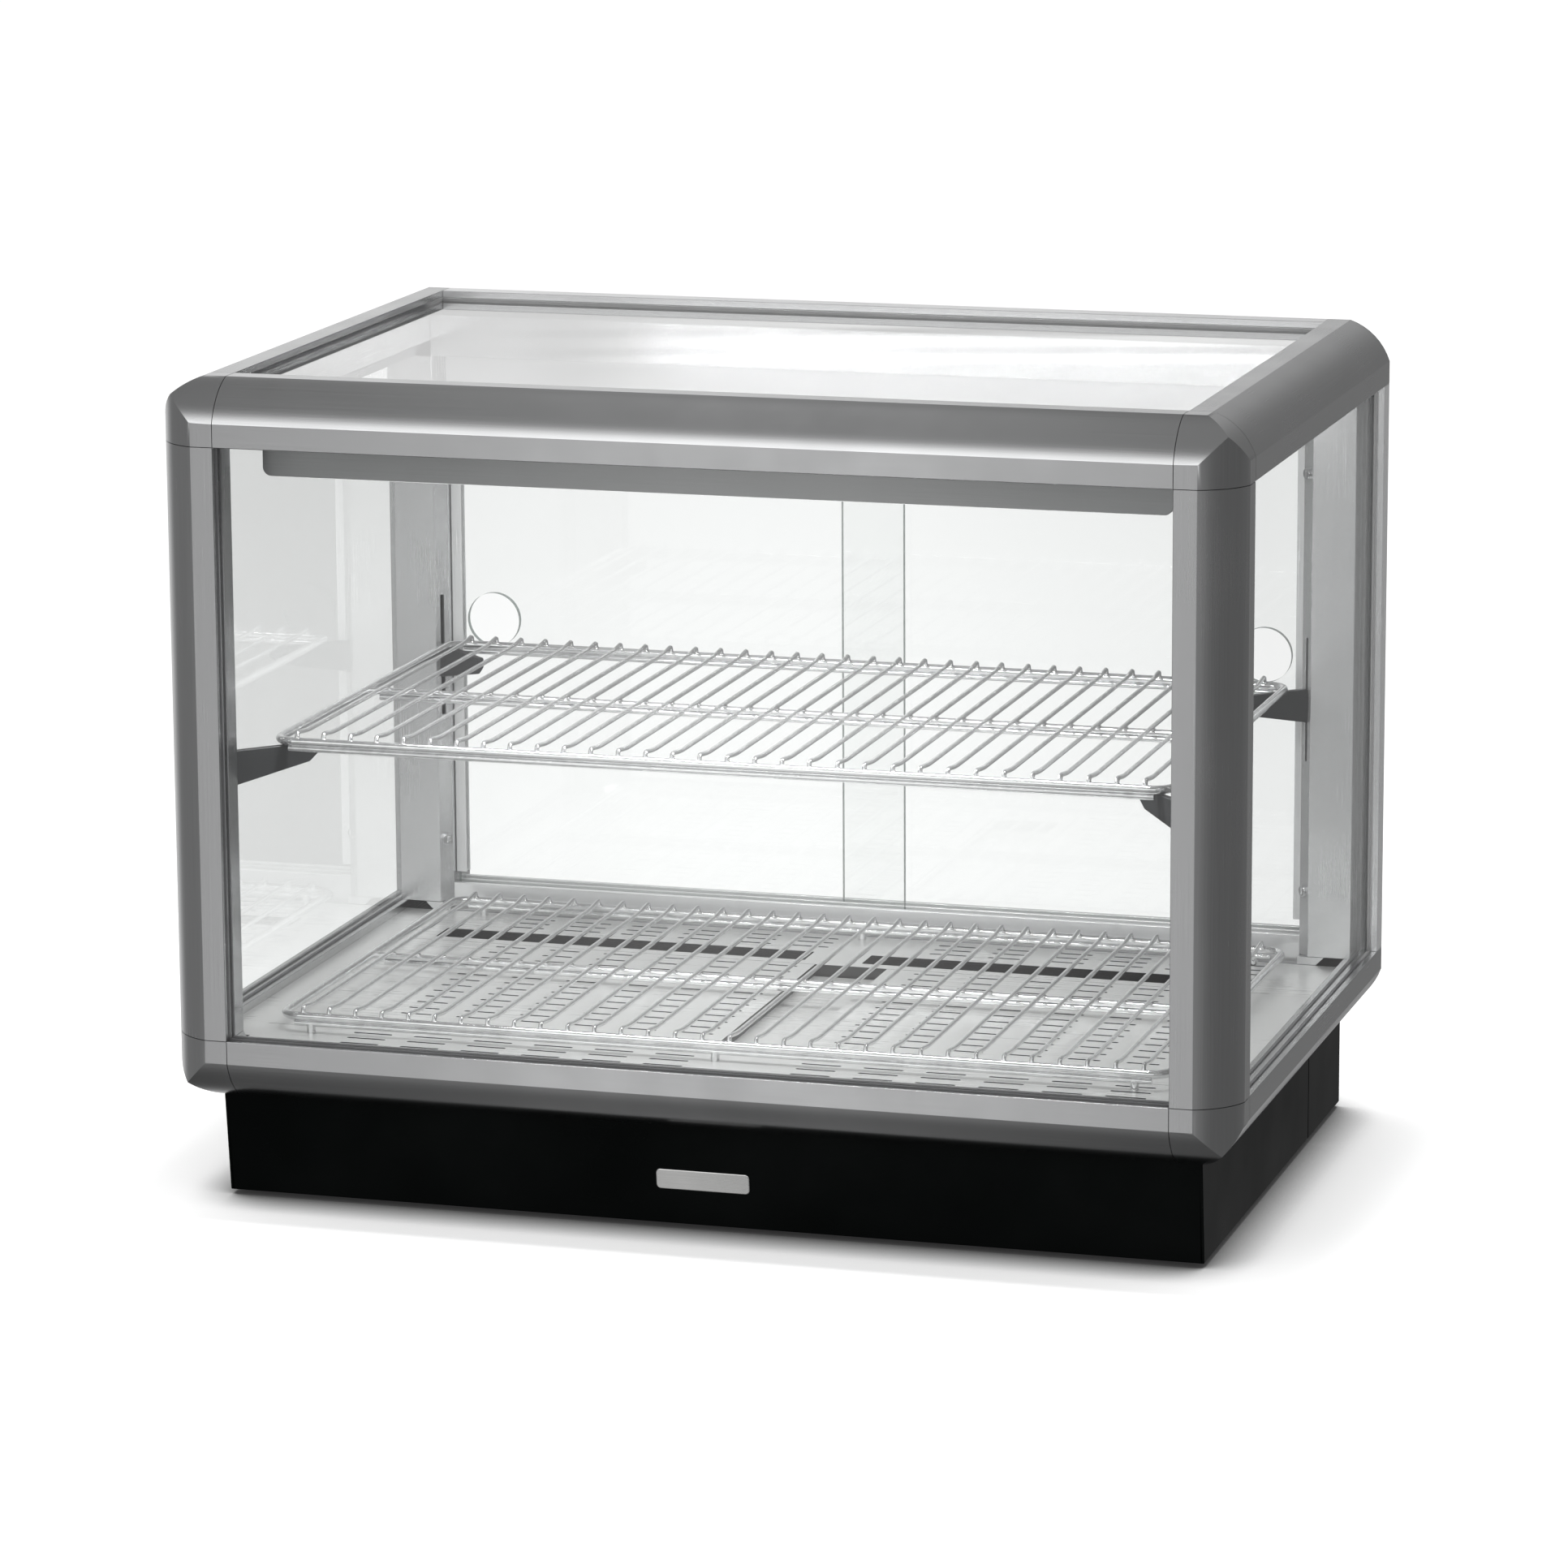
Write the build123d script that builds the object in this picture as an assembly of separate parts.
from build123d import *
import math
import os

# Countertop glass display case: a mitre-cornered aluminium frame glazed on four
# faces, two sliding glass doors at the back, two wire shelves, a lit canopy behind
# the front top rail, a slotted steel floor and a black plinth with the electrics.
#
# Millimetres. Origin on the counter under the middle of the case, +Z up. The case
# faces -Y, and the service doors and the controls are at +Y.

# ---------------------------------------------------------------- driving sizes
CASE_WIDTH = 750.0
CASE_DEPTH = 480.0
CASE_HEIGHT = 575.0
PLINTH_HEIGHT = 75.0

# frame extrusion: flat face, rounded-over corner, flat face
FLAT = 16.0
ROUND_LEG = 28.5
ROUND_BULGE = 4.8
SECTION = FLAT + ROUND_LEG
NOSE = 12.0
REAR_NOSE = 8.0
REAR_POST = 53.0

# glazing: 5 mm panes in a 9 mm channel seal, held in a 10 mm deep groove
RECESS = 5.0
GLASS = 5.0
SEAL = 9.0
GROOVE = 10.0
SEAL_WALL = (SEAL - GLASS) / 2
SEAL_LIP = 1.0

FLOOR_TOP = 113.5
SHEET = 1.5

# wire shelves
SHELF_WIDTH = 636.0
SHELF_DEPTH = 370.0
SHELF_FRONT = 60.0
RIM_WIRE = 6.0
MID_WIRE = 5.0
LOW_WIRE = 4.0
CROSS_WIRE = 3.2
RIM_CORNER = 14.0
CROSS_COUNT = 32
UPPER_RIM_Z = 318.3
LOWER_FOOT = 4.0
REST_GAP = 0.3
LOWER_RIM_Z = FLOOR_TOP + LOWER_FOOT + LOW_WIRE + RIM_WIRE / 2

# shelf brackets
ARM_LENGTH = 64.0
ARM_ROOT = 24.5
ARM_TIP = 7.0
ARM_THICKNESS = 5.0
SLIT_LOW = 262.0
SLIT_HIGH = 352.0
SLIT_WIDTH = 3.0

# sliding doors: centre lines of the two tracks, measured from the back of the case
FRONT_TRACK = 27.0
BACK_TRACK = 15.0
TRACK_GROOVE = 9.6
TRACK_WALL = 4.2
TRACK_HEIGHT = 21.0
DOOR_LOW = 118.0
DOOR_HIGH = 524.0
DOOR_OVERLAP = 50.0
DOOR_EDGE = 320.0
FINGER_HOLE = 40.0
FINGER_HOLE_X = 290.0
FINGER_HOLE_Z = 333.0

# canopy with the lamp
CANOPY_HALF = 317.0
CANOPY_FRONT = 58.0
CANOPY_DEPTH = 43.0
CANOPY_LOW = 503.0
CANOPY_HIGH = 558.0
CANOPY_CORNER = 6.0
CANOPY_SCREW_X = 295.0
SCREW_HOLE = 4.4
POST_SCREW_Z = (167.0, 470.0)
LENS_HALF = 280.0
LED_COUNT = 28

# floor slots
VENT_PITCH = 43.7
VENT_SLOT = 28.0
SLOT_WIDTH = 2.6
FLOOR_PITCH = 41.2
FLOOR_SLOT = 23.0
FLOOR_ROW = 17.0
CHANNEL_LEFT = -12.0
CHANNEL_RIGHT = 42.0
CHANNEL_DROP = 8.0

# plinth and electrics
PLINTH_HALF = 346.0
PLINTH_WALL = 2.0
PLINTH_FRONT_LOW = 41.0
PLINTH_FRONT_TOP = 33.0
PLINTH_SEAM = 368.0
PLINTH_REAR = 476.0
PLINTH_CLEAR = 3.0
FOOT_HEIGHT = 5.0
CONTROL_Y = 454.0
KNOB_X = 80.0
POWER_X = -20.0
LIGHT_X = -62.0
GLAND_X = -118.0
CONTROL_Z = 40.0
ROCKER_TILT = 8.0
PIVOT_RADIUS = 1.0
RUNNING = 0.05
FAN_X = -90.0
FAN_Y = 300.0

# ------------------------------------------------------------------ worked out
HALF_W = CASE_WIDTH / 2
FRONT = -CASE_DEPTH / 2
BACK = CASE_DEPTH / 2
LOW = PLINTH_HEIGHT
HIGH = CASE_HEIGHT
RAIL_HALF = HALF_W - SECTION

os.makedirs("parts", exist_ok=True)


def write(name, shape):
    """Write one named sub-part as its own STEP file."""
    export_step(shape, f"parts/{name}.step")


def box(x0, x1, y0, y1, z0, z1):
    """A box given by its lowest and highest corners."""
    solid = Box(x1 - x0, y1 - y0, z1 - z0)
    return Pos((x0 + x1) / 2, (y0 + y1) / 2, (z0 + z1) / 2) * solid


def from_front(distance):
    """Y of a plane a given distance behind the front face."""
    return FRONT + distance


def outline(points):
    """A flat face with straight sides through the given points."""
    return make_face(Polyline(*points, close=True))


def left_and_right(name, left):
    """Write a left-hand piece and its mirror image."""
    write(f"{name}_left", left)
    write(f"{name}_right", mirror(left, about=Plane.YZ))


def along(section, origin, x_dir, z_dir, length):
    """Extrude a section drawn with its outer corner at (0, 0) along z_dir."""
    return Plane(origin=origin, x_dir=x_dir, z_dir=z_dir).location * extrude(section, length)


# --------------------------------------------------------------- frame sections
def rounded_side():
    """The rounded-over outer corner, from the side face round to the front face."""
    middle = ROUND_LEG / 2 - ROUND_BULGE / math.sqrt(2)
    return ThreePointArc((0, ROUND_LEG), (middle, middle), (ROUND_LEG, 0))


def frame_section():
    """Closed box section with a 45 degree inner nose and a glazing groove each way."""
    straight = Polyline(
        (ROUND_LEG, 0),
        (SECTION, 0),
        (SECTION, SECTION - NOSE),
        (SECTION - NOSE, SECTION),
        (0, SECTION),
        (0, ROUND_LEG),
    )
    body = make_face(Curve() + [straight, rounded_side()])
    hollow = outline([(16, 16), (42, 16.5), (42, 30.5), (30.5, 42), (16.5, 42)])
    return body - hollow - groove_across() - groove_up()


def groove_across():
    """Glazing groove for the pane that is parallel to the section's first axis."""
    return Pos(SECTION - GROOVE / 2, RECESS + SEAL / 2) * Rectangle(GROOVE, SEAL)


def groove_up():
    """Glazing groove for the pane that is parallel to the section's second axis."""
    return Pos(RECESS + SEAL / 2, SECTION - GROOVE / 2) * Rectangle(SEAL, GROOVE)


def bottom_section():
    """Bottom rail: upright glazing box with a thin inward flange at its foot."""
    wall = 19.0
    flange = 3.0
    straight = Polyline(
        (ROUND_LEG, 0),
        (SECTION, 0),
        (SECTION, flange),
        (30, flange),
        (24, 6.5),
        (wall, 12),
        (wall, SECTION),
        (0, SECTION),
        (0, ROUND_LEG),
    )
    body = make_face(Curve() + [straight, rounded_side()])
    hollow = outline([(13, 15), (16.5, 15), (16.5, 32), (5, 32), (5, 27)])
    return body - hollow - groove_up()


def rear_post_section():
    """Rear post: square outer edge, glass lapped over its side, 45 degree nose."""
    lap = RECESS + SEAL
    body = outline([
        (0, 0),
        (REAR_POST, 0),
        (REAR_POST, SECTION - REAR_NOSE),
        (REAR_POST - REAR_NOSE, SECTION),
        (lap, SECTION),
        (lap, REAR_NOSE),
        (RECESS, REAR_NOSE),
        (RECESS, FLAT),
        (0, FLAT),
    ])
    hollow = outline([(17, 3), (50, 3), (50, 34.5), (43, 41.5), (17, 41.5)])
    return body - hollow


def rear_top_section():
    """Rear top rail: the roof pane laps over a ledge behind a thin upstand."""
    lap = RECESS + SEAL
    body = outline([
        (0, 0),
        (FLAT, 0),
        (FLAT, RECESS),
        (REAR_NOSE, RECESS),
        (REAR_NOSE, lap),
        (SECTION, lap),
        (SECTION, SECTION),
        (0, SECTION),
    ])
    hollow = outline([(3, 17), (41.5, 17), (41.5, 41.5), (3, 41.5)])
    return body - hollow


# ------------------------------------------------------------------------ seals
def pane_boxes():
    """The five-value outer box of each fixed pane's seal, by pane name."""
    reach = SECTION - GROOVE
    far = HALF_W - RECESS
    near = HALF_W - RECESS - SEAL
    return {
        "front_glass": (
            -(HALF_W - reach), HALF_W - reach,
            FRONT + RECESS, FRONT + RECESS + SEAL,
            LOW + reach, HIGH - reach,
        ),
        "side_glass_left": (
            -far, -near,
            FRONT + reach, BACK - REAR_NOSE,
            LOW + reach, HIGH - reach,
        ),
        "side_glass_right": (
            near, far,
            FRONT + reach, BACK - REAR_NOSE,
            LOW + reach, HIGH - reach,
        ),
        "top_glass": (
            -(HALF_W - reach), HALF_W - reach,
            FRONT + reach, BACK - REAR_NOSE,
            HIGH - RECESS - SEAL, HIGH - RECESS,
        ),
    }


def thin_axis(bounds):
    """Which axis a pane is thin along: 0, 1 or 2."""
    sizes = [bounds[1] - bounds[0], bounds[3] - bounds[2], bounds[5] - bounds[4]]
    return sizes.index(min(sizes))


def grown(bounds, thin_by, wide_by):
    """Grow a pane's box by one amount through its thickness and another in its plane."""
    thin = thin_axis(bounds)
    result = []
    for axis in range(3):
        by = thin_by if axis == thin else wide_by
        result.append(bounds[2 * axis] - by)
        result.append(bounds[2 * axis + 1] + by)
    return result


def seal_ring(bounds):
    """Channel seal round one pane, with a lip just proud of the frame."""
    window = grown(bounds, 1.0, -(GROOVE + SEAL_LIP))
    pane = grown(bounds, -SEAL_WALL, -SEAL_WALL)
    return box(*bounds) - box(*window) - box(*pane)


def build_glazing():
    rings = []
    for name, bounds in pane_boxes().items():
        write(name, box(*grown(bounds, -SEAL_WALL, -SEAL_WALL)))
        rings.append(seal_ring(bounds))
    write("glass_seals", Compound(children=rings))


# ------------------------------------------------------------------------ frame
def rounded_prism(x_dir, z_dir, origin):
    """A long block with one rounded-over edge, to intersect for a cast corner."""
    side = 2 * SECTION
    straight = Polyline((ROUND_LEG, 0), (side, 0), (side, side), (0, side), (0, ROUND_LEG))
    face = make_face(Curve() + [straight, rounded_side()])
    return along(face, origin, x_dir, z_dir, side)


def spigot(x_dir, z_dir, origin, hollow_points, length):
    """The tongue that a cast corner pushes into the hollow of one extrusion."""
    return along(outline(hollow_points), origin, x_dir, z_dir, length)


def cast_corner(top):
    """Front left cast corner, with tongues into the post and the two rails."""
    base = HIGH if top else LOW
    up = -1 if top else 1
    z_low = base - SECTION if top else base
    block = box(-HALF_W, -HALF_W + SECTION, FRONT, FRONT + SECTION, z_low, z_low + SECTION)
    # one prism for each pair of outer faces; each is drawn from the outer corner
    upright = rounded_prism((1, 0, 0), (0, 0, 1), (-HALF_W, FRONT, z_low - SECTION / 2))
    if top:
        across = rounded_prism((0, 1, 0), (-1, 0, 0), (-HALF_W + 1.5 * SECTION, FRONT, base))
        back = rounded_prism((0, 0, -1), (0, -1, 0), (-HALF_W, FRONT + 1.5 * SECTION, base))
    else:
        across = rounded_prism((0, 1, 0), (1, 0, 0), (-HALF_W - SECTION / 2, FRONT, base))
        back = rounded_prism((0, 0, 1), (0, 1, 0), (-HALF_W, FRONT - SECTION / 2, base))
    body = block & upright & across & back
    # below the glazing the inner corner follows the 45 degree nose of the post
    nose = outline([
        (SECTION - NOSE, SECTION),
        (SECTION, SECTION - NOSE),
        (SECTION + 1, SECTION - NOSE),
        (SECTION + 1, SECTION + 1),
        (SECTION - NOSE, SECTION + 1),
    ])
    nose_low = z_low - 1 if top else z_low + FLAT
    body -= Pos(-HALF_W, FRONT, nose_low) * extrude(nose, SECTION - FLAT + 1)
    # tongues, 0.4 mm clear of the extrusions' hollows
    tongue = 22.0
    slack = 0.4
    core = [
        (16 + slack, 16 + slack),
        (42 - slack, 16.5 + slack),
        (42 - slack, 30),
        (30, 42 - slack),
        (16.5 + slack, 42 - slack),
    ]
    post_end = base + up * SECTION
    start = post_end - tongue if top else post_end
    body += spigot((1, 0, 0), (0, 0, 1), (-HALF_W, FRONT, start), core, tongue)
    rail_end = -HALF_W + SECTION
    side_end = FRONT + SECTION
    if top:
        body += spigot((0, 1, 0), (-1, 0, 0), (rail_end + tongue, FRONT, base), core, tongue)
        body += spigot((0, 0, -1), (0, -1, 0), (-HALF_W, side_end + tongue, base), core, tongue)
    else:
        # the bottom rails are open inside, so a flat foot bolts on to each flange
        inner = 31.0
        foot_low = LOW + 3.0
        body += box(
            rail_end, rail_end + tongue, FRONT + inner, FRONT + SECTION - slack, foot_low, foot_low + 6
        )
        body += box(
            -HALF_W + inner, -HALF_W + SECTION - slack, side_end, side_end + tongue, foot_low, foot_low + 6
        )
    for bounds in pane_boxes().values():
        body -= box(*bounds)
    return body


def build_corners():
    left_and_right("corner_front_top", cast_corner(True))
    left_and_right("corner_front_bottom", cast_corner(False))


def slit_cut(u, v, y_sign, origin_y):
    """Cutter for the bracket slit through the 45 degree nose of a left-hand post."""
    height = SLIT_HIGH - SLIT_LOW
    cutter = Box(12, SLIT_WIDTH, height)
    angle = 45 * y_sign
    place = Pos(-HALF_W + u, origin_y + y_sign * v, (SLIT_LOW + SLIT_HIGH) / 2)
    return place * Rot(0, 0, angle) * cutter


def build_posts():
    height = HIGH - LOW - 2 * SECTION
    front = along(frame_section(), (-HALF_W, FRONT, LOW + SECTION), (1, 0, 0), (0, 0, 1), height)
    middle = SECTION - NOSE / 2
    left_and_right("front_post", front - slit_cut(middle, middle, 1, FRONT))
    # drawn from the rear left corner: x towards the middle, y towards the front
    rear = along(
        rear_post_section(), (-HALF_W, BACK, HIGH - SECTION), (1, 0, 0), (0, 0, -1), height
    )
    u = REAR_POST - REAR_NOSE / 2
    v = SECTION - REAR_NOSE / 2
    rear -= slit_cut(u, v, -1, BACK)
    for z in POST_SCREW_Z:
        drill = Rot(0, 0, -45) * Rot(0, 90, 0) * Cylinder(SCREW_HOLE / 2, 10)
        rear -= Pos(-HALF_W + u, BACK - v, z) * drill
    left_and_right("rear_post", rear)


def build_rails():
    cap = 2.0
    span = 2 * RAIL_HALF
    side_length = CASE_DEPTH - SECTION - cap
    write(
        "front_top_rail",
        along(frame_section(), (RAIL_HALF, FRONT, HIGH), (0, 1, 0), (-1, 0, 0), span),
    )
    write(
        "front_bottom_rail",
        along(bottom_section(), (-RAIL_HALF, FRONT, LOW), (0, 1, 0), (1, 0, 0), span),
    )
    left_and_right(
        "side_top_rail",
        along(frame_section(), (-HALF_W, BACK - cap, HIGH), (0, 0, -1), (0, -1, 0), side_length),
    )
    # mirrored in the section's own diagonal, so that the upright is on the outside
    sideways = mirror(bottom_section(), about=Plane(origin=(0, 0, 0), z_dir=(1, -1, 0)))
    left_and_right(
        "side_bottom_rail",
        along(sideways, (-HALF_W, FRONT + SECTION, LOW), (0, 0, 1), (0, 1, 0), side_length),
    )
    write(
        "rear_top_rail",
        along(rear_top_section(), (-RAIL_HALF, BACK, HIGH), (0, -1, 0), (1, 0, 0), span),
    )
    rear_low = FLOOR_TOP - SHEET - LOW
    beam = Rectangle(SECTION, rear_low) - Rectangle(SECTION - 6, rear_low - 6)
    middle = Plane(
        origin=(-RAIL_HALF, BACK - SECTION / 2, LOW + rear_low / 2), x_dir=(0, 1, 0), z_dir=(1, 0, 0)
    )
    write("rear_bottom_rail", middle.location * extrude(beam, span))
    # moulded caps close the rear ends of the four side rails
    straight = Polyline(
        (ROUND_LEG, 0),
        (SECTION, 0),
        (SECTION, SECTION),
        (0, SECTION),
        (0, ROUND_LEG),
    )
    cap_face = make_face(Curve() + [straight, rounded_side()])
    top_cap = along(cap_face, (-HALF_W, BACK, HIGH), (0, 0, -1), (0, -1, 0), cap)
    low_cap = along(cap_face, (-HALF_W, BACK - cap, LOW), (0, 0, 1), (0, 1, 0), cap)
    caps = []
    for one in (top_cap, low_cap):
        caps.append(one)
        caps.append(mirror(one, about=Plane.YZ))
    write("rail_end_caps", Compound(children=caps))


# ------------------------------------------------------------------------ doors
def track(z0, opening_down):
    """Two-groove guide between the rear posts."""
    half = HALF_W - REAR_POST
    front_edge = BACK - FRONT_TRACK - TRACK_GROOVE / 2 - TRACK_WALL
    back_edge = BACK - BACK_TRACK + TRACK_GROOVE / 2 + TRACK_WALL
    body = box(-half, half, front_edge, back_edge, z0, z0 + TRACK_HEIGHT)
    floor = 3.0
    low = z0 - 1 if opening_down else z0 + floor
    high = z0 + TRACK_HEIGHT - floor if opening_down else z0 + TRACK_HEIGHT + 1
    for centre in (FRONT_TRACK, BACK_TRACK):
        y = BACK - centre
        body -= box(-half - 1, half + 1, y - TRACK_GROOVE / 2, y + TRACK_GROOVE / 2, low, high)
    return body


def door(side, centre):
    """One door: the pane with its finger hole, then its edge strip and two shoes."""
    y = BACK - centre
    x_outer = side * DOOR_EDGE
    x_inner = -side * DOOR_OVERLAP / 2
    x0 = min(x_outer, x_inner)
    x1 = max(x_outer, x_inner)
    pane = box(x0, x1, y - GLASS / 2, y + GLASS / 2, DOOR_LOW, DOOR_HIGH)
    hole = Pos(side * FINGER_HOLE_X, y, FINGER_HOLE_Z) * Rot(90, 0, 0) * Cylinder(FINGER_HOLE / 2, 20)
    pane -= hole
    strip_out = x_outer + side * 1.5
    strip_in = x_outer - side * 6.5
    wall = 1.6
    strip_low = LOW + SECTION + TRACK_HEIGHT
    strip_high = HIGH - SECTION - TRACK_HEIGHT
    strip = box(
        min(strip_out, strip_in), max(strip_out, strip_in),
        y - GLASS / 2 - wall, y + GLASS / 2 + wall,
        strip_low, strip_high,
    )
    strip -= box(x0, x1, y - GLASS / 2, y + GLASS / 2, DOOR_LOW, DOOR_HIGH)
    pieces = [strip]
    shoe_half = 15.0
    shoe_wall = 1.7
    shoe_low = FLOOR_TOP - SHEET + 3.1
    for x in (x0 + 45, x1 - 45):
        shoe = box(
            x - shoe_half, x + shoe_half,
            y - GLASS / 2 - shoe_wall, y + GLASS / 2 + shoe_wall,
            shoe_low, DOOR_LOW + 7,
        )
        shoe -= box(x0, x1, y - GLASS / 2, y + GLASS / 2, DOOR_LOW, DOOR_HIGH)
        pieces.append(shoe)
    return pane, Compound(children=pieces)


def build_doors():
    write("door_track_bottom", track(FLOOR_TOP - SHEET, False))
    write("door_track_top", track(HIGH - SECTION - TRACK_HEIGHT, True))
    for name, side, centre in (("left", -1, FRONT_TRACK), ("right", 1, BACK_TRACK)):
        pane, fittings = door(side, centre)
        write(f"door_glass_{name}", pane)
        write(f"door_fittings_{name}", fittings)


# ----------------------------------------------------------------------- canopy
def build_canopy():
    y0 = from_front(CANOPY_FRONT)
    y1 = y0 + CANOPY_DEPTH
    outer = box(-CANOPY_HALF, CANOPY_HALF, y0, y1, CANOPY_LOW, CANOPY_HIGH)
    lower = outer.edges().filter_by(Axis.Y).group_by(Axis.Z)[0]
    outer = fillet(lower, CANOPY_CORNER)
    inner = box(
        -CANOPY_HALF + SHEET, CANOPY_HALF - SHEET,
        y0 + SHEET, y1 - SHEET,
        CANOPY_LOW + SHEET, CANOPY_HIGH - SHEET,
    )
    inner = fillet(inner.edges().filter_by(Axis.Y).group_by(Axis.Z)[0], CANOPY_CORNER - SHEET)
    window = box(-LENS_HALF, LENS_HALF, y0 + 7, y1 - 7, CANOPY_LOW - 1, CANOPY_LOW + 3)
    housing = outer - inner - window
    # two hanging flanges reach forward to the back of the front top rail
    for z in (CANOPY_HIGH - SHEET, CANOPY_HIGH - 14.0):
        housing += box(-CANOPY_HALF, CANOPY_HALF, from_front(SECTION), y0 + SHEET, z, z + SHEET)
    for x in (-CANOPY_SCREW_X, CANOPY_SCREW_X):
        housing -= Pos(x, (y0 + y1) / 2, CANOPY_LOW) * Cylinder(SCREW_HOLE / 2, 6)
    write("canopy_housing", housing)

    lens = box(-LENS_HALF, LENS_HALF, y0 + 7, y1 - 7, CANOPY_LOW - SHEET, CANOPY_LOW + SHEET)
    lens += box(
        -LENS_HALF - 4, LENS_HALF + 4, y0 + 3.5, y1 - 3.5, CANOPY_LOW + SHEET, CANOPY_LOW + 2 * SHEET
    )
    write("canopy_diffuser", lens)

    # lamp strip: a circuit board with a row of square emitters, under the roof of the housing
    middle = (y0 + y1) / 2
    board_top = CANOPY_HIGH - SHEET
    board = box(-LENS_HALF + 10, LENS_HALF - 10, middle - 7, middle + 7, board_top - 4, board_top)
    pitch = (2 * LENS_HALF - 40) / (LED_COUNT - 1)
    for index in range(LED_COUNT):
        x = -LENS_HALF + 20 + index * pitch
        board += box(x - 2.5, x + 2.5, middle - 2.5, middle + 2.5, board_top - 5.2, board_top - 4)
    write("led_strip", board)


# ---------------------------------------------------------------------- shelves
def shelf_rim(z):
    """Closed loop of thick wire with rounded corners."""
    half_x = (SHELF_WIDTH - RIM_WIRE) / 2
    half_y = (SHELF_DEPTH - RIM_WIRE) / 2
    y = from_front(SHELF_FRONT + SHELF_DEPTH / 2)
    r = RIM_CORNER
    loop = Pos(0, y, z) * RectangleRounded(2 * half_x, 2 * half_y, r)
    path = loop.wire()
    start = Plane(origin=path @ 0, z_dir=path % 0)
    return sweep(start * Circle(RIM_WIRE / 2), path=path)


def rod(x0, x1, y, z, diameter):
    """Round wire along X."""
    return Pos((x0 + x1) / 2, y, z) * Rot(0, 90, 0) * Cylinder(diameter / 2, x1 - x0)


def cross_wire(y0, y1, z_rim):
    """One front-to-back wire that rests on the middle wire, its ends bent down on to the rim."""
    top = z_rim + MID_WIRE / 2 + CROSS_WIRE / 2
    low = z_rim + RIM_WIRE / 2 - 1.5
    path = FilletPolyline(
        (0, y0, low),
        (0, y0 + 1.6, top + 2.2),
        (0, y0 + 22, top),
        (0, y1 - 22, top),
        (0, y1 - 1.6, top + 2.2),
        (0, y1, low),
        radius=2.4,
    )
    start = Plane(origin=path @ 0, z_dir=path % 0)
    return sweep(start * Circle(CROSS_WIRE / 2), path=path)


def shelf_wires(z_rim, foot):
    """Cross wires, the middle wire and the lower wires under front, middle and back."""
    y0 = from_front(SHELF_FRONT) + RIM_WIRE / 2
    y1 = from_front(SHELF_FRONT + SHELF_DEPTH) - RIM_WIRE / 2
    middle = (y0 + y1) / 2
    reach = SHELF_WIDTH / 2 - RIM_WIRE + 0.4
    z_low = z_rim - RIM_WIRE / 2 - LOW_WIRE / 2 + 0.2
    pieces = [rod(-reach, reach, middle, z_rim, MID_WIRE)]
    low_half = reach - 8
    for y in (y0, y1):
        pieces.append(rod(-low_half, low_half, y, z_low, LOW_WIRE))
    z_under = z_rim - MID_WIRE / 2 - LOW_WIRE / 2
    pieces.append(rod(-low_half, low_half, middle, z_under, LOW_WIRE))
    one = cross_wire(y0, y1, z_rim)
    pitch = 2 * (reach - 14) / (CROSS_COUNT - 1)
    for index in range(CROSS_COUNT):
        x = -(reach - 14) + index * pitch
        pieces.append(Pos(x, 0, 0) * one)
    if foot:
        for x in (-low_half + 12, 0, low_half - 12):
            for y in (y0, y1):
                top = z_low - LOW_WIRE / 2 + 0.4
                height = top - FLOOR_TOP
                pieces.append(Pos(x, y, FLOOR_TOP + height / 2) * Cylinder(3, height))
    return Compound(children=pieces)


def build_shelves():
    write("upper_shelf_rim", shelf_rim(UPPER_RIM_Z))
    write("upper_shelf_wires", shelf_wires(UPPER_RIM_Z, False))
    write("lower_shelf_rim", shelf_rim(LOWER_RIM_Z))
    write("lower_shelf_wires", shelf_wires(LOWER_RIM_Z, True))


def bracket():
    """Tapered arm drawn along +X from the post, with a tongue that hooks in the slit."""
    arm = outline([
        (0, 0),
        (ARM_LENGTH, 0),
        (ARM_LENGTH, -ARM_TIP),
        (ARM_LENGTH - 7, -ARM_TIP - 6),
        (0, -ARM_ROOT),
    ])
    upright = Plane(origin=(0, ARM_THICKNESS / 2, 0), x_dir=(1, 0, 0), z_dir=(0, -1, 0))
    body = upright.location * extrude(arm, ARM_THICKNESS)
    tip = body.edges().filter_by(Axis.Y).sort_by(Axis.X)[-2:]
    body = fillet(tip, 1.5)
    tongue = 2.4
    body += box(-7.5, 0.5, -tongue / 2, tongue / 2, -20, -3)
    body += box(-7.5, -4.2, -tongue / 2, tongue / 2, -26, -3)
    return body


def build_brackets():
    top = UPPER_RIM_Z - RIM_WIRE / 2 - REST_GAP
    u_front = SECTION - NOSE / 2
    front = Pos(-HALF_W + u_front, FRONT + u_front, top) * Rot(0, 0, 45) * bracket()
    left_and_right("shelf_bracket_front", front)
    u = REAR_POST - REAR_NOSE / 2
    v = SECTION - REAR_NOSE / 2
    rear = Pos(-HALF_W + u, BACK - v, top) * Rot(0, 0, -45) * bracket()
    left_and_right("shelf_bracket_rear", rear)


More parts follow.
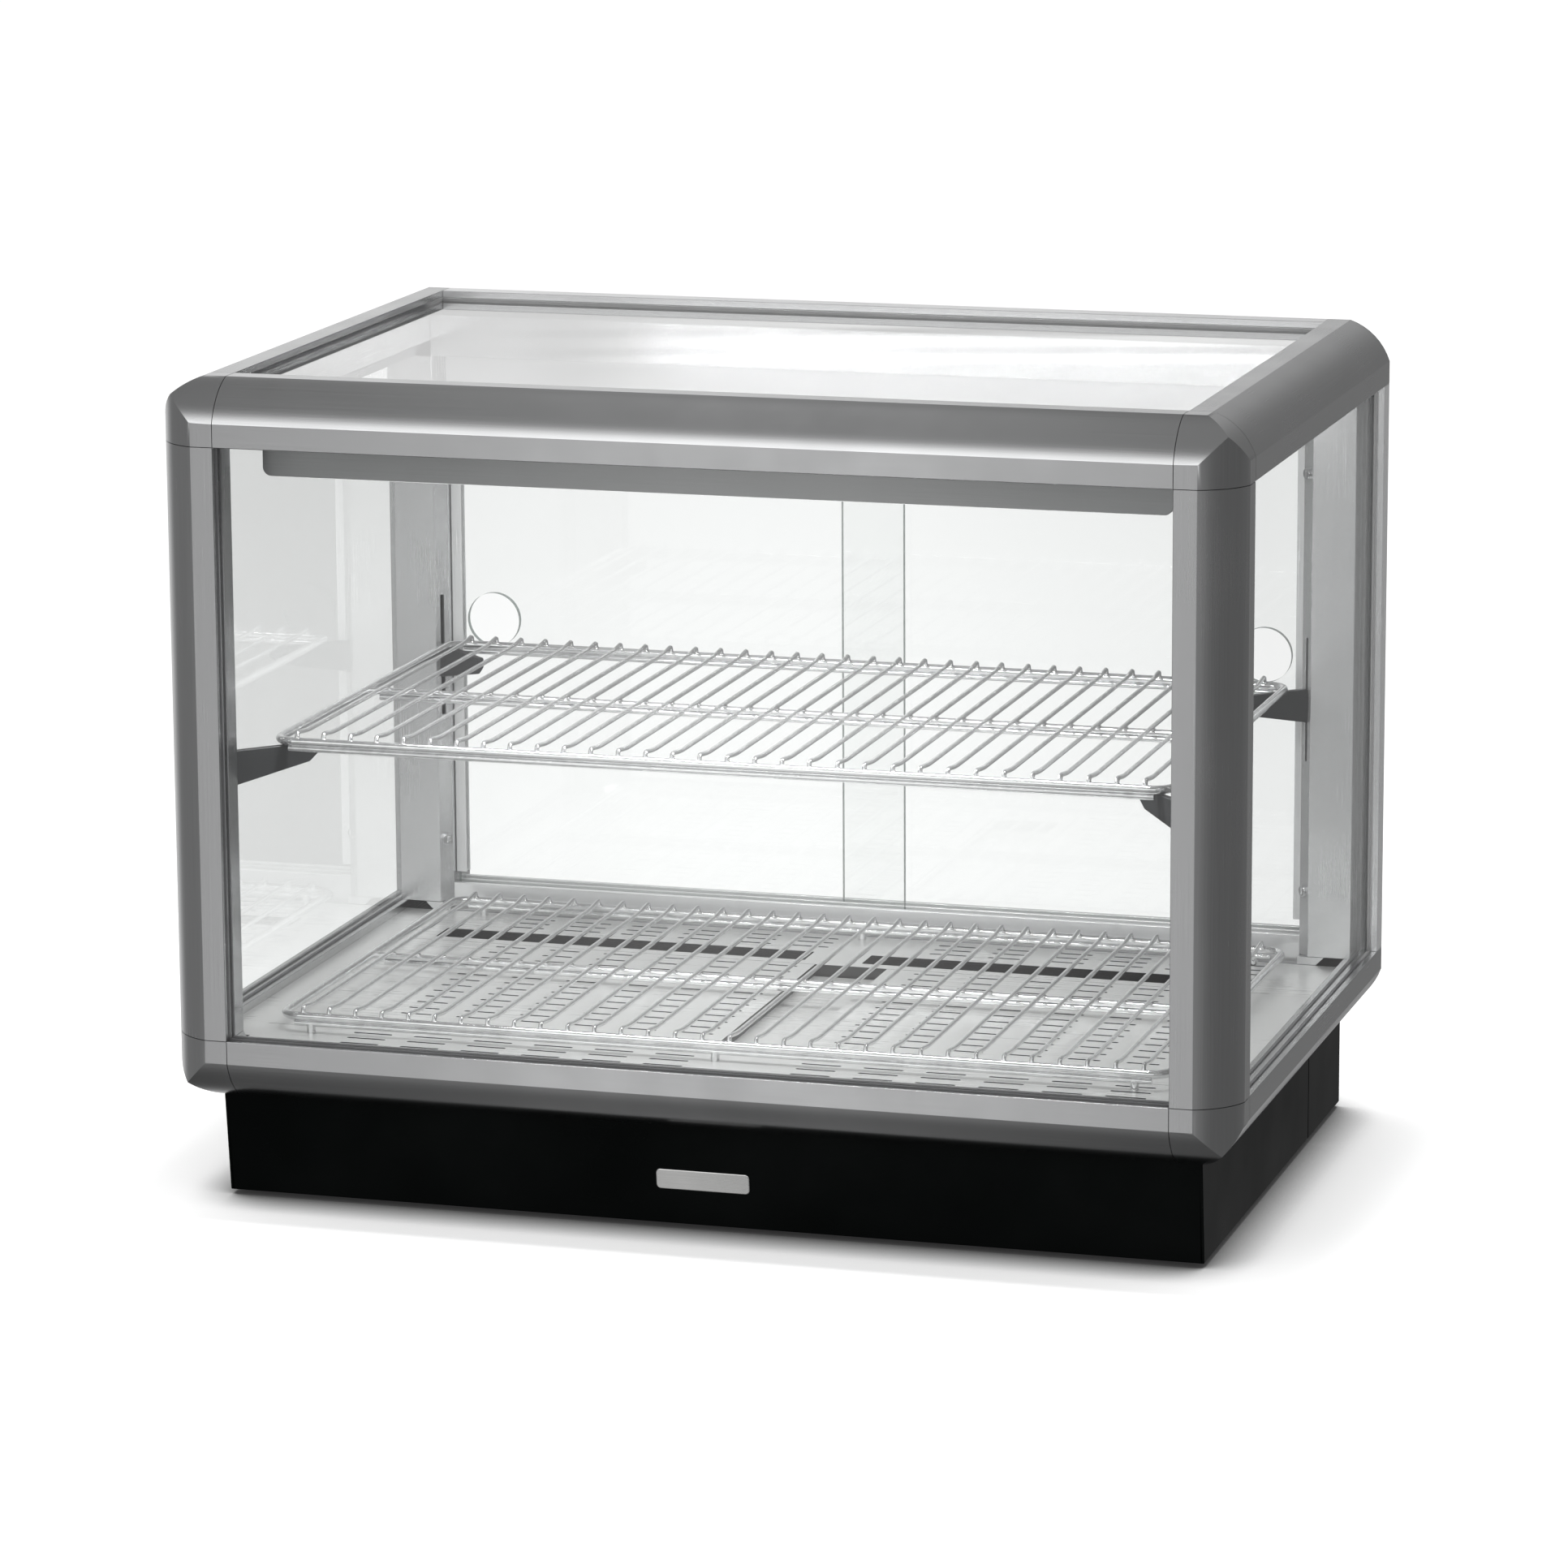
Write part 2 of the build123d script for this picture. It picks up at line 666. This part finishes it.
def build_screws():
    """Pan-head screws in the rear posts' noses and under the canopy ends."""
    head = Cylinder(4, 2.4) + Pos(0, 0, -5) * Cylinder(1.9, 8)
    head -= Pos(0, 0, 1.2) * Box(5, 1, 1.2)
    u = REAR_POST - REAR_NOSE / 2
    v = SECTION - REAR_NOSE / 2
    screws = []
    for z in POST_SCREW_Z:
        turned = Rot(0, 0, -45) * Pos(1.2, 0, 0) * Rot(0, 90, 0) * head
        left = Pos(-HALF_W + u, BACK - v, z) * turned
        screws.append(left)
        screws.append(mirror(left, about=Plane.YZ))
    y = from_front(CANOPY_FRONT + CANOPY_DEPTH / 2)
    for x in (-CANOPY_SCREW_X, CANOPY_SCREW_X):
        screws.append(Pos(x, y, CANOPY_LOW - 1.2) * Rot(180, 0, 0) * head)
    write("panel_screws", Compound(children=screws))


# ------------------------------------------------------------------------ floor
def slots(centres, length, width):
    """Round-ended slots along X, as one flat sketch."""
    with BuildSketch() as sketch:
        with Locations(*centres):
            SlotOverall(length, width)
    return sketch.sketch


def cut_slots(plate, centres, length, width):
    """Cut a pattern of slots through a level sheet at the floor."""
    cutter = extrude(slots(centres, length, width), 8)
    return plate - Pos(0, 0, FLOOR_TOP - 6) * cutter


def tray(x0, x1, y0, y1, lip):
    """Level sheet with its front and back edges turned down."""
    plate = box(x0, x1, y0, y1, FLOOR_TOP - SHEET, FLOOR_TOP)
    plate += box(x0, x1, y0, y0 + SHEET, FLOOR_TOP - lip, FLOOR_TOP)
    plate += box(x0, x1, y1 - SHEET, y1, FLOOR_TOP - lip, FLOOR_TOP)
    return plate


def vent_centres(rows):
    """Six slot groups each side of the floor channel."""
    centre = (CHANNEL_LEFT + CHANNEL_RIGHT) / 2 + 6
    points = []
    for row in rows:
        for index in range(6):
            offset = 52 + index * VENT_PITCH
            points.append((centre - offset, from_front(row)))
            points.append((centre + offset, from_front(row)))
    return points


def floor_panel(x0, x1, first):
    """Lift-out floor panel with six columns of short slots."""
    plate = tray(x0, x1, from_front(80), from_front(344), 8)
    points = []
    for column in range(6):
        for row in range(15):
            x = first + column * FLOOR_PITCH
            points.append((x, from_front(97 + row * FLOOR_ROW)))
    return cut_slots(plate, points, FLOOR_SLOT, SLOT_WIDTH)


def build_floor():
    edge = HALF_W - REAR_POST
    front = tray(-RAIL_HALF, RAIL_HALF, from_front(19), from_front(79.5), 8)
    write("front_vent_strip", cut_slots(front, vent_centres((42, 56, 70)), VENT_SLOT, SLOT_WIDTH))
    write("floor_panel_left", floor_panel(-edge, CHANNEL_LEFT, -240.0))
    write("floor_panel_right", floor_panel(CHANNEL_RIGHT, edge, 76.0))

    # the rear strip has a long air outlet each side, then rows of slots
    rear = tray(-edge, edge, from_front(344.5), from_front(435.0), 8)
    rear = cut_slots(rear, vent_centres((397, 410, 423)), VENT_SLOT, SLOT_WIDTH)
    for x0, x1 in ((-305, -23), (20, 305)):
        rear -= box(x0, x1, from_front(355), from_front(381), FLOOR_TOP - 6, FLOOR_TOP + 1)
    write("rear_vent_strip", rear)

    # sunken channel between the two floor panels, hung from flanges under them
    y0 = from_front(83)
    y1 = from_front(341)
    gauge = 1.2
    bottom = FLOOR_TOP - CHANNEL_DROP
    under = FLOOR_TOP - SHEET
    x0 = CHANNEL_LEFT
    x1 = CHANNEL_RIGHT
    channel = box(x0, x1, y0, y1, bottom - gauge, bottom)
    channel += box(x0 - gauge, x0, y0, y1, bottom - gauge, under)
    channel += box(x1, x1 + gauge, y0, y1, bottom - gauge, under)
    channel += box(x0 - 12, x0, y0, y1, under - gauge, under)
    channel += box(x1, x1 + 12, y0, y1, under - gauge, under)
    write("floor_center_channel", channel)

    # level trims beside the panels, with a step that carries the panels' edges
    step = outline([
        (19, FLOOR_TOP),
        (REAR_POST, FLOOR_TOP),
        (REAR_POST, FLOOR_TOP - SHEET),
        (62, FLOOR_TOP - SHEET),
        (62, FLOOR_TOP - 2 * SHEET),
        (51.5, FLOOR_TOP - 2 * SHEET),
        (51.5, FLOOR_TOP - SHEET),
        (19, FLOOR_TOP - SHEET),
    ])
    length = CASE_DEPTH - 2 * SECTION - 0.5
    start = Plane(origin=(-HALF_W, from_front(SECTION) + length, 0), x_dir=(1, 0, 0), z_dir=(0, -1, 0))
    trim = start.location * extrude(step, length)
    # clear of the turned-down edges of the floor pieces
    for y in (79.5, 344.25, 435.0):
        trim -= box(-HALF_W + 52, -HALF_W + 63, from_front(y) - 4, from_front(y) + 4, 90, FLOOR_TOP - SHEET)
    trim -= box(-HALF_W + SECTION, -HALF_W + 63, FRONT, from_front(80), 90, FLOOR_TOP + 1)
    write("floor_side_trims", Compound(children=[trim, mirror(trim, about=Plane.YZ)]))


# ----------------------------------------------------------------------- plinth
def build_plinth():
    side = box(
        -PLINTH_HALF, -PLINTH_HALF + PLINTH_WALL,
        from_front(PLINTH_FRONT_TOP), from_front(PLINTH_SEAM),
        PLINTH_CLEAR, LOW,
    )
    flange = box(
        -PLINTH_HALF, -PLINTH_HALF + 14,
        from_front(PLINTH_FRONT_TOP + 8), from_front(PLINTH_SEAM),
        LOW - PLINTH_WALL, LOW,
    )
    lean = outline([
        (from_front(PLINTH_FRONT_LOW), PLINTH_CLEAR),
        (from_front(PLINTH_FRONT_LOW + PLINTH_WALL), PLINTH_CLEAR),
        (from_front(PLINTH_FRONT_TOP + PLINTH_WALL), LOW),
        (from_front(PLINTH_FRONT_TOP), LOW),
    ])
    across = Plane(origin=(-PLINTH_HALF, 0, 0), x_dir=(0, 1, 0), z_dir=(1, 0, 0))
    front = across.location * extrude(lean, 2 * PLINTH_HALF)
    # trim the side walls to the leaning front
    ahead = outline([
        (from_front(0), 0),
        (from_front(PLINTH_FRONT_LOW) + 0.32, 0),
        (from_front(PLINTH_FRONT_TOP) - 0.11, LOW + 1),
        (from_front(0), LOW + 1),
    ])
    ahead = across.location * extrude(ahead, 2 * PLINTH_HALF)
    walls = side + flange
    shell = front + (walls - ahead) + (mirror(walls, about=Plane.YZ) - ahead)
    write("plinth_shell", shell)

    # rear service panel: wraps round both sides, with a window for the controls
    # and a bank of air slots
    seam = from_front(PLINTH_SEAM) + 1.0
    rear = from_front(PLINTH_REAR)
    panel = box(-PLINTH_HALF, PLINTH_HALF, seam, rear, PLINTH_CLEAR, LOW)
    panel -= box(
        -PLINTH_HALF + PLINTH_WALL, PLINTH_HALF - PLINTH_WALL,
        seam - 1, rear - PLINTH_WALL,
        PLINTH_CLEAR - 1, LOW + 1,
    )
    panel -= box(-145, 125, rear - 4, rear + 1, 14, 66)
    louvre = 3.0
    for x in (-250, 235):
        for row in range(5):
            z = 20 + row * 10
            panel -= box(x - 60, x + 60, rear - 4, rear + 1, z, z + louvre)
    write("plinth_rear_panel", panel)

    inside = PLINTH_HALF - PLINTH_WALL
    base = box(
        -inside, inside,
        from_front(PLINTH_FRONT_LOW + PLINTH_WALL), from_front(PLINTH_REAR - PLINTH_WALL),
        FOOT_HEIGHT, FOOT_HEIGHT + PLINTH_WALL,
    )
    intake = []
    for column in range(9):
        for row in range(9):
            intake.append((FAN_X + (column - 4) * 9, from_front(FAN_Y) + (row - 4) * 9))
    with BuildSketch() as holes:
        with Locations(*intake):
            Circle(2.6)
    base -= Pos(0, 0, FOOT_HEIGHT - 1) * extrude(holes.sketch, PLINTH_WALL + 2)
    write("base_plate", base)

    foot = Cylinder(15, FOOT_HEIGHT) - Pos(0, 0, -FOOT_HEIGHT / 2) * Cylinder(4, 3)
    feet = []
    for x in (-300, 300):
        for y in (80, 430):
            feet.append(Pos(x, from_front(y), FOOT_HEIGHT / 2) * foot)
    write("feet", Compound(children=feet))


# ------------------------------------------------------------------- electrics
def rocker():
    """Rocker cap about its own pivot, pressed over to the off side."""
    face = outline([(-9, 0), (-9, 5.5), (0, 3.6), (9, 5.5), (9, 0), (4, -4), (-4, -4)])
    turned = Plane(origin=(-6, 0, 0), x_dir=(0, 0, -1), z_dir=(1, 0, 0))
    cap = turned.location * extrude(face, 12)
    cap += Rot(0, 90, 0) * Cylinder(PIVOT_RADIUS, 15.2)
    return Rot(ROCKER_TILT, 0, 0) * cap


def build_electrics():
    y = from_front(CONTROL_Y)
    wall = 2.0
    inside = from_front(PLINTH_REAR - PLINTH_WALL)
    plate = box(-150, 130, y - wall, inside, 9, 71) - box(-148, 128, y, inside + 1, 11, 69)
    for x in (POWER_X, LIGHT_X):
        plate -= box(x - 9, x + 9, y - 5, y + 1, CONTROL_Z - 14, CONTROL_Z + 14)
    plate -= Pos(KNOB_X, y, CONTROL_Z) * Rot(90, 0, 0) * Cylinder(3.6, 10)
    plate -= Pos(GLAND_X, y, CONTROL_Z) * Rot(90, 0, 0) * Cylinder(8.1, 10)
    write("control_panel", plate)

    # the two switch bodies clip in the panel from the back
    bodies = []
    pivot_y = y - 1.0
    for x in (POWER_X, LIGHT_X):
        body = box(x - 8.8, x + 8.8, y - 24, y, CONTROL_Z - 13.8, CONTROL_Z + 13.8)
        body += box(x - 11, x + 11, y, y + 1.6, CONTROL_Z - 16, CONTROL_Z + 16)
        body -= box(x - 6.5, x + 6.5, y - 9, y + 3, CONTROL_Z - 11.5, CONTROL_Z + 11.5)
        pivot = Rot(0, 90, 0) * Cylinder(PIVOT_RADIUS + RUNNING, 16.2)
        body -= Pos(x, pivot_y, CONTROL_Z) * pivot
        for z in (-8, 0, 8):
            body += box(x - 3, x + 3, y - 32, y - 24, CONTROL_Z + z - 0.4, CONTROL_Z + z + 0.4)
        bodies.append(body)
    write("switch_bodies", Compound(children=bodies))
    for name, x in (("power_rocker", POWER_X), ("light_rocker", LIGHT_X)):
        write(name, Pos(x, pivot_y, CONTROL_Z) * rocker())

    # thermostat behind the panel, its flatted spindle carrying the knob
    body = box(KNOB_X - 20, KNOB_X + 20, y - 36, y - wall, CONTROL_Z - 20, CONTROL_Z + 20)
    spindle = Pos(KNOB_X, y + 4, CONTROL_Z) * Rot(90, 0, 0) * Cylinder(3, 16)
    spindle -= box(KNOB_X - 4, KNOB_X + 4, y + 2, y + 13, CONTROL_Z + 1.8, CONTROL_Z + 4)
    write("thermostat", body + spindle)
    knob = Pos(KNOB_X, y + 9, CONTROL_Z) * Rot(90, 0, 0) * Cylinder(14, 16)
    rim = knob.edges().filter_by(GeomType.CIRCLE).group_by(Axis.Y)[-1]
    knob = fillet(rim, 1.5)
    for index in range(20):
        angle = math.radians(18 * index)
        notch = Pos(KNOB_X + 14.6 * math.cos(angle), y + 9, CONTROL_Z + 14.6 * math.sin(angle))
        knob -= notch * Rot(90, 0, 0) * Cylinder(1.2, 20)
    knob -= box(KNOB_X - 0.8, KNOB_X + 0.8, y + 16, y + 18, CONTROL_Z + 3, CONTROL_Z + 13)
    knob -= Pos(KNOB_X, y + 6.5, CONTROL_Z) * Rot(90, 0, 0) * Cylinder(3 + RUNNING, 12)
    write("thermostat_knob", knob)

    # compression gland for the supply lead
    gland = Pos(0, 0, 3) * extrude(RegularPolygon(11, 6), 6) + Cylinder(8, 22)
    gland += Pos(0, 0, 12) * Cylinder(9, 6)
    gland -= Cylinder(4, 60)
    write("cable_gland", Pos(GLAND_X, y - 3, CONTROL_Z) * Rot(-90, 0, 0) * gland)

    # fan: motor on the base plate, impeller above it on the same upright axis
    centre = (FAN_X, from_front(FAN_Y))
    base = FOOT_HEIGHT + PLINTH_WALL
    motor = Pos(*centre, base + 14) * Cylinder(20, 24)
    motor += Pos(*centre, base + 33.5) * Cylinder(2.5, 19)
    for angle in (0, 120, 240):
        leg = Pos(27, 0, base + 6) * Box(26, 8, 4) + Pos(38, 0, base + 4) * Box(6, 8, 8)
        motor += Pos(*centre, 0) * Rot(0, 0, angle) * leg
    write("fan_motor", motor)
    hub = Cylinder(14, 14) - Pos(0, 0, -1) * Cylinder(2.5 + RUNNING, 14)
    blade = Pos(27, 0, 0) * Rot(32, 0, 0) * Box(30, 20, 1.6)
    for index in range(7):
        hub += Rot(0, 0, index * 360 / 7) * blade
    write("fan_impeller", Pos(*centre, base + 38) * hub)

    # tubular heater: three runs across the case under the air outlets
    z = 84.0
    x = 250.0
    points = []
    for index in range(3):
        run_y = from_front(290 + 30 * index)
        ends = ((-x, run_y, z), (x, run_y, z))
        points.extend(ends if index % 2 == 0 else reversed(ends))
    path = FilletPolyline(*points, radius=14)
    start = Plane(origin=path @ 0, z_dir=path % 0)
    tube = sweep(start * Circle(4), path=path)
    for x_end, index in ((-x, 0), (x, 2)):
        tube += rod(x_end - 12, x_end + 12, from_front(290 + 30 * index), z, 12)
    # two uprights carry the runs above the base plate
    for x_leg in (-200, 200):
        tube += box(x_leg - 1, x_leg + 1, from_front(278), from_front(362), base, z + 8)
    write("heating_element", tube)


build_glazing()
build_corners()
build_posts()
build_rails()
build_doors()
build_canopy()
build_shelves()
build_brackets()
build_screws()
build_floor()
build_plinth()
build_electrics()
